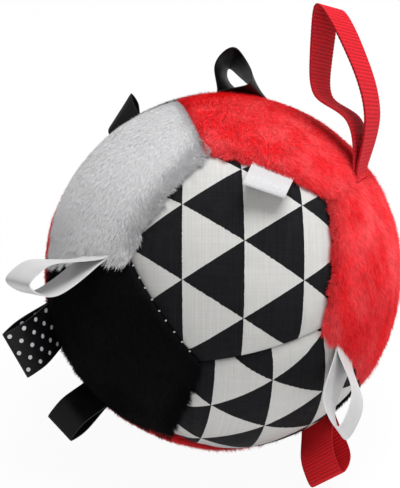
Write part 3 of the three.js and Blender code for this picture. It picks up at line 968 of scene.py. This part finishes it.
def strand_line(loop):
    """The line of an upright loop, from its lower sewn end over the fold to the other, in millimetres."""
    foot = loop["thickness"] / 2 + STRAND_ROOM

    def strand(side, index):
        belly, widest = loop["bellies"][index], loop["widest"][index]
        return [
            (side * foot, 0.0),
            (side * foot, loop["part"][index] * loop["height"]),
            (side * belly, widest * loop["height"]),
            (side * belly * FOLD_BELLY, (1 + widest) / 2 * loop["height"]),
        ]

    knots = np.array([*strand(1, 0), (0.0, loop["height"]), *reversed(strand(-1, 1))])
    knots = np.vstack([2 * knots[0] - knots[1], knots, 2 * knots[-1] - knots[-2]])
    line = []
    for p0, p1, p2, p3 in zip(knots, knots[1:], knots[2:], knots[3:]):
        d0, d1, d2 = (math.sqrt(np.linalg.norm(b - a)) for a, b in ((p0, p1), (p1, p2), (p2, p3)))
        go = ((p1 - p0) / d0 - (p2 - p0) / (d0 + d1) + (p2 - p1) / d1) * d1
        come = ((p2 - p1) / d1 - (p3 - p1) / (d1 + d2) + (p3 - p2) / d2) * d1
        for share in np.linspace(0, 1, STRETCH_POINTS, endpoint=False):
            square, cube = share**2, share**3
            line.append(
                (2 * cube - 3 * square + 1) * p1
                + (cube - 2 * square + share) * go
                + (3 * square - 2 * cube) * p2
                + (cube - square) * come
            )
    line.append(knots[-2])
    sewn = sizes().sewn_in / MM
    return np.vstack([(foot, -sewn), line, (-foot, -sewn)])


def draped(loop, across, height, along):
    """Twists, bends, slants and sways an upright loop, then leans it over from its seam."""
    share = np.maximum(height, 0) / loop["height"]
    twist = np.radians(loop["twist"]) * share
    bend = np.radians(loop["bend"]) * share
    x = across * np.cos(twist) - along * np.sin(twist)
    z = across * np.sin(twist) + along * np.cos(twist)
    rise = height - share * z * math.tan(math.radians(loop["slant"]))
    chord = rise * np.sinc(bend / 2 / math.pi)
    over = chord * np.sin(bend / 2) + x * np.cos(bend)
    up = chord * np.cos(bend / 2) - x * np.sin(bend)
    z = z + np.maximum(height, 0) * math.tan(math.radians(loop["sway"]))
    lean = math.radians(loop["lean"]) * smooth_step((height + LEAN_HEIGHT / 2) / LEAN_HEIGHT)
    return over * np.cos(lean) + up * np.sin(lean), up * np.cos(lean) - over * np.sin(lean), z


def make_loop(name, material, along_step=0.5, across_steps=16, relief=None):
    """One ribbon loop: a strip laid along its line, draped, given its thickness and hung in its seam."""
    least_steps = 60
    beside_point = 0.2
    loop = {**PLAIN_LOOP, **LOOPS[name]}
    line = strand_line(loop)
    steps = np.linalg.norm(np.diff(line, axis=0), axis=1)
    run = np.concatenate([[0], np.cumsum(steps)])
    total = run[-1]
    bpy.ops.object.select_all(action="DESELECT")
    bpy.ops.mesh.primitive_grid_add(
        x_subdivisions=across_steps, y_subdivisions=max(least_steps, round(total / along_step)), size=1
    )
    strip = bpy.context.object
    strip.name = name + "_cloth"
    flat = points_of(strip)
    along = flat[:, 0] * loop["width"]
    at = (flat[:, 1] + 0.5) * total

    def on_line(places):
        return np.stack([np.interp(places, run, line[:, 0]), np.interp(places, run, line[:, 1])])

    x, y = on_line(at)
    dx, dy = on_line(at + beside_point) - on_line(at - beside_point)
    size = np.maximum(np.hypot(dx, dy), 1e-9)
    rib = relief(at, along, loop) if relief else np.zeros(len(at))
    over, up, beside = draped(loop, x + rib * dy / size, y - rib * dx / size, along)
    place, across, out, seam = (np.array(v) for v in loop_frame(loop))
    move_points(strip, place + MM * (np.outer(over, across) + np.outer(up, out) + np.outer(beside, seam)))
    lay_uv(strip, "ribbon_cm", np.stack([along + loop["width"] / 2, at], axis=1) / 10)
    set_points(strip, "rib", "FLOAT", "value", rib / (np.abs(rib).max() or 1.0))
    apply_modifier(strip, "SOLIDIFY", thickness=loop["thickness"] * MM, offset=0, use_rim=True)
    strip.data.materials.append(material)
    only(strip)
    bpy.ops.object.shade_smooth_by_angle(angle=math.radians(50))
    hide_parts(name, name + "_sewn_end")
    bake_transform(strip)


def flat_edge(along, loop, edge):
    """Falls off towards the edges of a band."""
    return EDGE_LOW + (1 - EDGE_LOW) * smooth_step((loop["width"] / 2 - np.abs(along)) / edge)


def grosgrain_ribs(at, along, loop):
    ribs = np.abs(np.cos(math.pi * at / (sizes().rib_pitch / MM))) ** 0.7
    return RIB_HEIGHT * ribs * flat_edge(along, loop, RIB_EDGE)


def webbing_weave(at, along, loop):
    across = (along + loop["width"] / 2) / CORD_WIDTH
    picks_at = at / (sizes().weave_pitch / MM) + 0.05 * np.sin(math.pi * across)
    picks = np.abs(np.sin(math.pi * picks_at)) ** 0.8
    cords = np.abs(np.sin(math.pi * across)) ** 0.5
    return WEAVE_HEIGHT * picks * (0.45 + 0.55 * cords) * (1 + flat_edge(along, loop, WEAVE_EDGE)) / 2


class BALL_OT_filling(bpy.types.Operator):
    """Make the fibre filling, a lumpy core behind the panels"""

    bl_idname = "soft_ball.filling"
    bl_label = "Filling"

    def execute(self, context):
        bpy.ops.object.select_all(action="DESELECT")
        bpy.ops.mesh.primitive_ico_sphere_add(subdivisions=5, radius=sizes().radius * CORE_SHARE)
        core = context.object
        core.name = "fibre_core"
        core.data.transform(Matrix.Translation(ball_centre()))
        directions = directions_of(core)
        bulge = sum(high * lumps(directions, scale, seed) for high, scale, seed in CORE_LUMPS)
        move_points(core, points_of(core) + directions * bulge[:, None])
        core.data.materials.append(thread_material("loose_fibre", colours().fibre, 350))
        only(core)
        bpy.ops.object.shade_smooth()
        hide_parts("filling")
        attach(core, "ball")
        return {"FINISHED"}


class BALL_OT_print_panels(bpy.types.Operator):
    """Make the panels of printed cotton"""

    bl_idname = "soft_ball.print_panels"
    bl_label = "Printed panels"

    def execute(self, context):
        c = colours()
        looks = {"print": print_material("triangle_cotton", c.print_ground, c.print_ink)}
        make_panels({"print"}, looks, 5)
        return {"FINISHED"}


class BALL_OT_plush_panels(bpy.types.Operator):
    """Make the plush panels and their pile"""

    bl_idname = "soft_ball.plush_panels"
    bl_label = "Plush panels"

    def execute(self, context):
        c = colours()
        # Each plush: its painted shade at the roots (1.0 for none), its brushed streaks with painted
        # sheen, how much its tufts vary, and its shader sheen
        looks = {
            "red": plush_material(
                "red_plush", c.red, root_shade=1.0, light=c.red_brushed_sheen, tufted_by=0.2, sheen=0.12,
                tint=(1, 0.5, 0.5),
            ),
            "black": plush_material(
                "black_plush", c.black, root_shade=0.7, light=c.black_brushed_sheen, tufted_by=0.3, sheen=0.0
            ),
            "white": plush_material(
                "white_plush", c.white, root_shade=1.0, light=c.white, tufted_by=0.05, sheen=0.1
            ),
        }
        make_panels(set(looks), looks, 4)
        return {"FINISHED"}


class BALL_OT_stitches(bpy.types.Operator):
    """Make the stitches that close the seams"""

    bl_idname = "soft_ball.stitches"
    bl_label = "Stitches"

    def execute(self, context):
        s = sizes()
        middles = panel_middles()
        bpy.ops.object.select_all(action="DESELECT")
        bpy.ops.mesh.primitive_uv_sphere_add(segments=8, ring_count=6, radius=s.thread_width / 2)
        bead = context.object
        reach = s.stitch_length / 2 - s.thread_width / 2
        for vertex in bead.data.vertices:
            vertex.co.z += math.copysign(reach, vertex.co.z) if abs(vertex.co.z) > 1e-7 else 0
            vertex.co.x -= STITCH_ARCH * vertex.co.z**2 / s.stitch_length
        draws = np.random.default_rng(STITCH_SEED)
        names = list(middles)
        copies = []
        for index, first in enumerate(names):
            for second in names[index + 1 :]:
                if middles[first].dot(middles[second]) > 0:
                    copies += self.along_seam(bead, middles, first, second, draws)
        bpy.data.objects.remove(bead)
        bpy.ops.object.select_all(action="DESELECT")
        for copy in copies:
            copy.select_set(True)
        bpy.context.view_layer.objects.active = copies[0]
        bpy.ops.object.join()
        thread = bpy.context.object
        thread.name = "seam_stitches"
        thread.data.materials.append(thread_material("sewing_thread", colours().thread, 1500))
        bpy.ops.object.shade_smooth()
        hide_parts("seam_thread")
        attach(thread, "ball")
        return {"FINISHED"}

    def along_seam(self, bead, middles, first, second, draws):
        s = sizes()
        depth = s.radius - s.seam_depth
        half = HALF_SEAM * depth
        across = (middles[first] - middles[second]).normalized()
        middle = (middles[first] + middles[second]).normalized()
        along = across.cross(middle)
        stands_out = STITCH_SHOWN if SHOWN_SEAM == {first, second} else STITCH_SUNK
        copies = []
        for at in np.arange(-half + s.stitch_pitch, half - s.stitch_pitch / 2, s.stitch_pitch):
            turn = (at + draws.uniform(-STITCH_STRAY, STITCH_STRAY)) / depth
            slope = draws.uniform(-STITCH_SLANT, STITCH_SLANT)
            out = middle * math.cos(turn) + along * math.sin(turn)
            place = ball_centre() + out * (depth + stands_out)
            if self.under_ribbon(place):
                continue
            way = (across + along * slope).normalized()
            turned = Matrix((out, way.cross(out), way)).transposed().to_4x4()
            copy = bpy.data.objects.new("stitch", bead.data.copy())
            bpy.context.collection.objects.link(copy)
            copy.data.transform(Matrix.Translation(place) @ turned)
            copies.append(copy)
        return copies

    def under_ribbon(self, place):
        for loop in LOOPS.values():
            hinge, _, _, seam = loop_frame(loop)
            beside = abs((place - hinge).dot(seam))
            if beside < loop["width"] / 2 * MM + RIBBON_ROOM and (place - hinge).length < RIBBON_NEAR:
                return True
        return False


class BALL_OT_satin_ribbons(bpy.types.Operator):
    """Make the plain and dotted satin ribbon loops"""

    bl_idname = "soft_ball.satin_ribbons"
    bl_label = "Satin ribbons"

    def execute(self, context):
        c = colours()
        white = satin_material("white_satin", c.satin_white)
        black = satin_material("black_satin", c.satin_black)
        dotted = satin_material("dotted_satin", c.satin_black, dots=c.satin_white)
        for name in ("white_left_ribbon", "white_right_ribbon"):
            make_loop(name, white)
        for name in ("black_lower_ribbon", "black_upper_ribbon", "black_top_ribbon"):
            make_loop(name, black)
        make_loop("dotted_ribbon", dotted, across_steps=18)
        return {"FINISHED"}


class BALL_OT_ribbed_ribbon(bpy.types.Operator):
    """Make the ribbed ribbon loop"""

    bl_idname = "soft_ball.ribbed_ribbon"
    bl_label = "Ribbed ribbon"

    def execute(self, context):
        look = ribbed_material("red_grosgrain", colours().grosgrain)
        make_loop(
            "red_lower_ribbon", look, along_step=0.2, across_steps=20,
            relief=grosgrain_ribs,
        )
        return {"FINISHED"}


class BALL_OT_strap(bpy.types.Operator):
    """Make the woven hanging strap"""

    bl_idname = "soft_ball.strap"
    bl_label = "Hanging strap"

    def execute(self, context):
        look = ribbed_material("red_webbing", colours().webbing, rib_top_highlight=1.2)
        make_loop(
            "hanging_strap", look, along_step=0.27, across_steps=60,
            relief=webbing_weave,
        )
        return {"FINISHED"}


class BALL_OT_label(bpy.types.Operator):
    """Make the blank folded label"""

    bl_idname = "soft_ball.label"
    bl_label = "Folded label"

    def execute(self, context):
        look = thread_material("label_cloth", colours().label, 1400, 0.04)
        make_loop("care_label", look, along_step=0.4, across_steps=18)
        return {"FINISHED"}


class BALL_OT_stage(bpy.types.Operator):
    """Make the floor, the lamps and the camera"""

    bl_idname = "soft_ball.stage"
    bl_label = "Floor, lamps and camera"

    def execute(self, context):
        stage = context.scene.ball_stage
        bpy.ops.object.select_all(action="DESELECT")
        bpy.ops.mesh.primitive_plane_add(size=FLOOR_SIZE)
        floor = context.object
        floor.name = "floor"
        floor.data.materials.append(self.floor_material())
        self.sky(stage.sky)
        centre = ball_centre()
        self.lamp("key", centre + KEY_PLACE, stage.key)
        self.lamp("fill", centre + FILL_PLACE, stage.fill)
        self.camera(stage, centre)
        return {"FINISHED"}

    def floor_material(self):
        nodes = Surface("pale_floor")
        nodes.finish(Base_Color=rgba(colours().floor), Roughness=0.9, Specular_IOR_Level=0.1)
        white = nodes.add("ShaderNodeEmission", {"Color": (1, 1, 1, 1), "Strength": 1.0})
        share = nodes.math("MULTIPLY", nodes.seen(), FLOOR_WHITE)
        parts = {0: share, 1: nodes.shader.outputs[0], 2: white.outputs[0]}
        blend = nodes.add("ShaderNodeMixShader", parts)
        nodes.join(blend.outputs[0], nodes.output.inputs["Surface"])
        return nodes.material

    def sky(self, strength):
        world = bpy.data.worlds.new("even_light")
        world.use_nodes = True
        nodes = Nodes(world.node_tree)
        light = nodes.add("ShaderNodeBackground", {"Strength": strength})
        white = nodes.add("ShaderNodeBackground")
        parts = {0: nodes.seen(), 1: light.outputs[0], 2: white.outputs[0]}
        blend = nodes.add("ShaderNodeMixShader", parts)
        nodes.add("ShaderNodeOutputWorld", {0: blend.outputs[0]})
        bpy.context.scene.world = world

    def lamp(self, name, place, power):
        data = bpy.data.lights.new(name, "AREA")
        set_all(data, {"shape": "DISK", "size": LAMP_SIZE, "energy": power})
        lamp = bpy.data.objects.new(name, data)
        bpy.context.collection.objects.link(lamp)
        lamp.location = place
        lamp.rotation_mode = "QUATERNION"
        lamp.rotation_quaternion = (ball_centre() - place).to_track_quat("-Z", "Y")

    def camera(self, stage, centre):
        back = Vector((0, -math.cos(stage.elevation), math.sin(stage.elevation)))
        rise = Vector((0, math.sin(stage.elevation), math.cos(stage.elevation)))
        aim = centre + Vector((stage.aim_right, 0, 0)) + rise * stage.aim_up
        data = bpy.data.cameras.new("camera")
        data.lens = stage.lens
        data.sensor_width = 36
        camera = bpy.data.objects.new("camera", data)
        bpy.context.collection.objects.link(camera)
        camera.location = aim + back * stage.distance
        camera.rotation_mode = "QUATERNION"
        camera.rotation_quaternion = (-back).to_track_quat("-Z", "Y")
        bpy.context.scene.camera = camera
        bpy.context.scene.view_settings.view_transform = "Standard"


class BALL_PT_pieces(bpy.types.Panel):
    """Lists the pieces of the ball and their sizes and colours"""

    bl_idname = "BALL_PT_pieces"
    bl_label = "Soft Ribbon Ball"
    bl_space_type = "VIEW_3D"
    bl_region_type = "UI"
    bl_category = "Soft Ball"

    def draw(self, context):
        for operator in PIECES:
            self.layout.operator(operator.bl_idname)
        for group in (context.scene.ball_sizes, context.scene.ball_colours, context.scene.ball_stage):
            for key in group.__annotations__:
                self.layout.prop(group, key)


PIECES = (
    BALL_OT_stage,
    BALL_OT_filling,
    BALL_OT_print_panels,
    BALL_OT_plush_panels,
    BALL_OT_stitches,
    BALL_OT_satin_ribbons,
    BALL_OT_ribbed_ribbon,
    BALL_OT_strap,
    BALL_OT_label,
)
GROUPS = (
    ("ball_sizes", BallSizes),
    ("ball_colours", ClothColours),
    ("ball_stage", StageSettings),
)


def register():
    for name, group in GROUPS:
        bpy.utils.register_class(group)
        setattr(bpy.types.Scene, name, PointerProperty(type=group))
    for cls in (*PIECES, BALL_PT_pieces):
        bpy.utils.register_class(cls)


def unregister():
    for cls in (BALL_PT_pieces, *reversed(PIECES)):
        bpy.utils.unregister_class(cls)
    for name, group in reversed(GROUPS):
        delattr(bpy.types.Scene, name)
        bpy.utils.unregister_class(group)


def main():
    register()
    bpy.ops.soft_ball.stage()
    bpy.ops.soft_ball.filling()
    bpy.ops.soft_ball.print_panels()
    bpy.ops.soft_ball.plush_panels()
    bpy.ops.soft_ball.stitches()
    bpy.ops.soft_ball.satin_ribbons()
    bpy.ops.soft_ball.ribbed_ribbon()
    bpy.ops.soft_ball.strap()
    bpy.ops.soft_ball.label()


if __name__ == "__main__":
    main()
